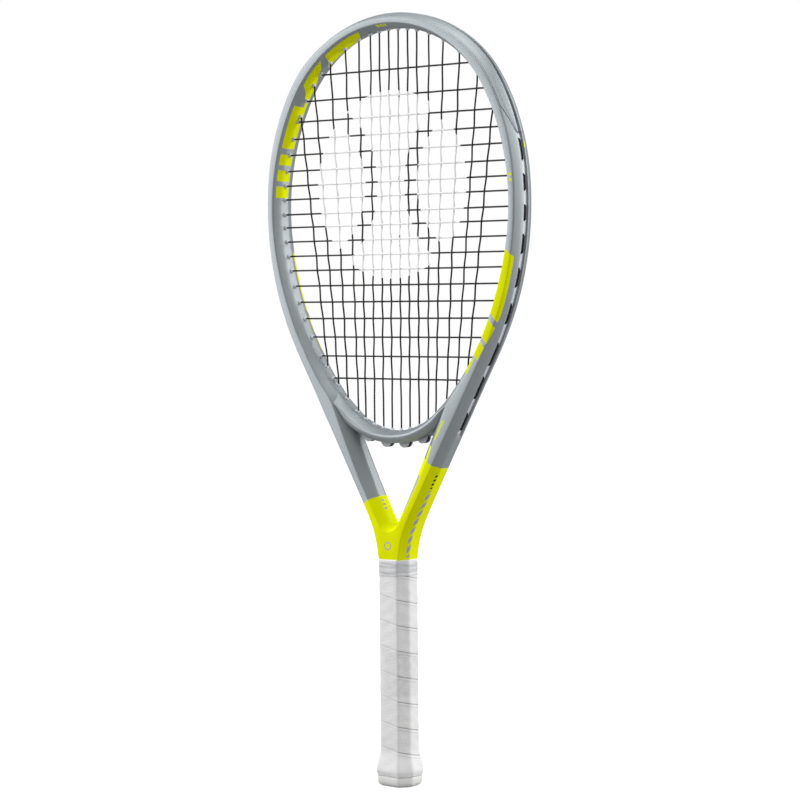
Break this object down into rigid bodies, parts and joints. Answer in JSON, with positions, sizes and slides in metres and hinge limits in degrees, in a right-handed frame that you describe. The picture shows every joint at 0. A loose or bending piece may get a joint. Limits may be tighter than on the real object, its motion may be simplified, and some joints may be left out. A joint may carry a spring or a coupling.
{
  "type": "tennis racket",
  "caption": "Tennis racket with an egg-shaped strung head, a forked open throat and a padded octagonal grip on a flared butt.",
  "frame": {"origin": "centre of the butt end, on the handle's axis", "axes": "+Z along the handle towards the head, +X across the head, -Y out of the front face"},
  "size_m": [0.2854, 0.0366, 0.692],
  "materials": {
    "frame_paint": "satin lacquer over a moulded composite tube, silver grey with lime yellow below",
    "bumper": "fine matt",
    "grommet": "fine matt",
    "string": "smooth",
    "staple_steel": "bright",
    "cap_plastic": "satin",
    "pallet_foam": "matt moulded foam",
    "grip": "perforated synthetic leather",
    "tape": "thin stretched vinyl"
  },
  "bodies": {
    "racket": {"frame": "frame_paint", "throat_bridge": "frame_paint", "head_bumper": "bumper", "side_grommets_right": "grommet", "side_grommets_left": "grommet", "throat_grommets": "grommet", "main_string": "string", "cross_string": "string", "butt_cap_staples": "staple_steel", "butt_cap": "cap_plastic", "pallet_back": "pallet_foam", "pallet_front": "pallet_foam", "grip_wrap": "grip", "finishing_tape": "tape"},
    "butt_door": {"butt_cap_door": "cap_plastic"}
  },
  "joints": [
    {"name": "butt_door_slide", "type": "slide", "parent": "racket", "child": "butt_door", "axis": [0, 0, -1], "range_m": [0, 0.015]}
  ]
}
